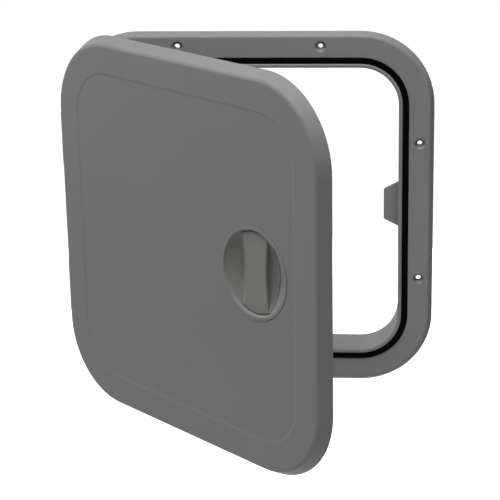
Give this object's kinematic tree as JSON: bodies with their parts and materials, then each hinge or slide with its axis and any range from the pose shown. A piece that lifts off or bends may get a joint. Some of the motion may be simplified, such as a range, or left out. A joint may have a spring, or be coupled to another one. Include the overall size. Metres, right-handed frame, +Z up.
{
  "type": "access hatch",
  "caption": "Square hinged access hatch: bevelled lid with a recessed twist latch, on a flanged frame with rounded corners and a rubber seal.",
  "frame": {"origin": "centre of the flange's back face, which lies against the deck or bulkhead, midway between the screw holes", "axes": "+X to the right, hinge on the left; +Y into the panel that the hatch is fixed to, so the lid faces -Y; +Z up"},
  "size_m": [0.381, 0.3154, 0.391],
  "materials": {
    "frame_plastic": "satin moulded",
    "lid_plastic": "satin moulded",
    "latch_plastic": "satin moulded",
    "seal_rubber": "matt",
    "acetal": "smooth natural",
    "stainless_steel": "turned"
  },
  "bodies": {
    "frame": {"frame": "frame_plastic", "frame_seal": "seal_rubber", "hinge_pin_lower": "stainless_steel", "hinge_pin_upper": "stainless_steel"},
    "lid": {"lid_panel": "lid_plastic", "latch_housing": "latch_plastic", "housing_gasket": "seal_rubber", "latch_backing_plate": "latch_plastic", "spindle_bush": "acetal", "backing_screw_1": "stainless_steel", "backing_screw_2": "stainless_steel", "backing_screw_3": "stainless_steel", "backing_screw_4": "stainless_steel"},
    "latch": {"knob": "latch_plastic", "spindle": "stainless_steel", "spindle_o_ring": "seal_rubber", "thrust_washer": "acetal", "spring_washer": "stainless_steel", "retaining_clip": "stainless_steel", "cam": "stainless_steel", "cam_washer": "stainless_steel", "cam_bolt": "stainless_steel"}
  },
  "joints": [
    {"name": "lid_hinge", "type": "hinge", "parent": "frame", "child": "lid", "pos_m": [-0.1895, -0.0165, 0], "axis": [0, 0, -1], "range_deg": [-43.5, 116.5]},
    {"name": "latch_turn", "type": "hinge", "parent": "lid", "child": "latch", "pos_m": [0.03476, -0.20656, 0.005], "axis": [0.6884, 0.7254, 0], "range_deg": [0, 90]}
  ]
}
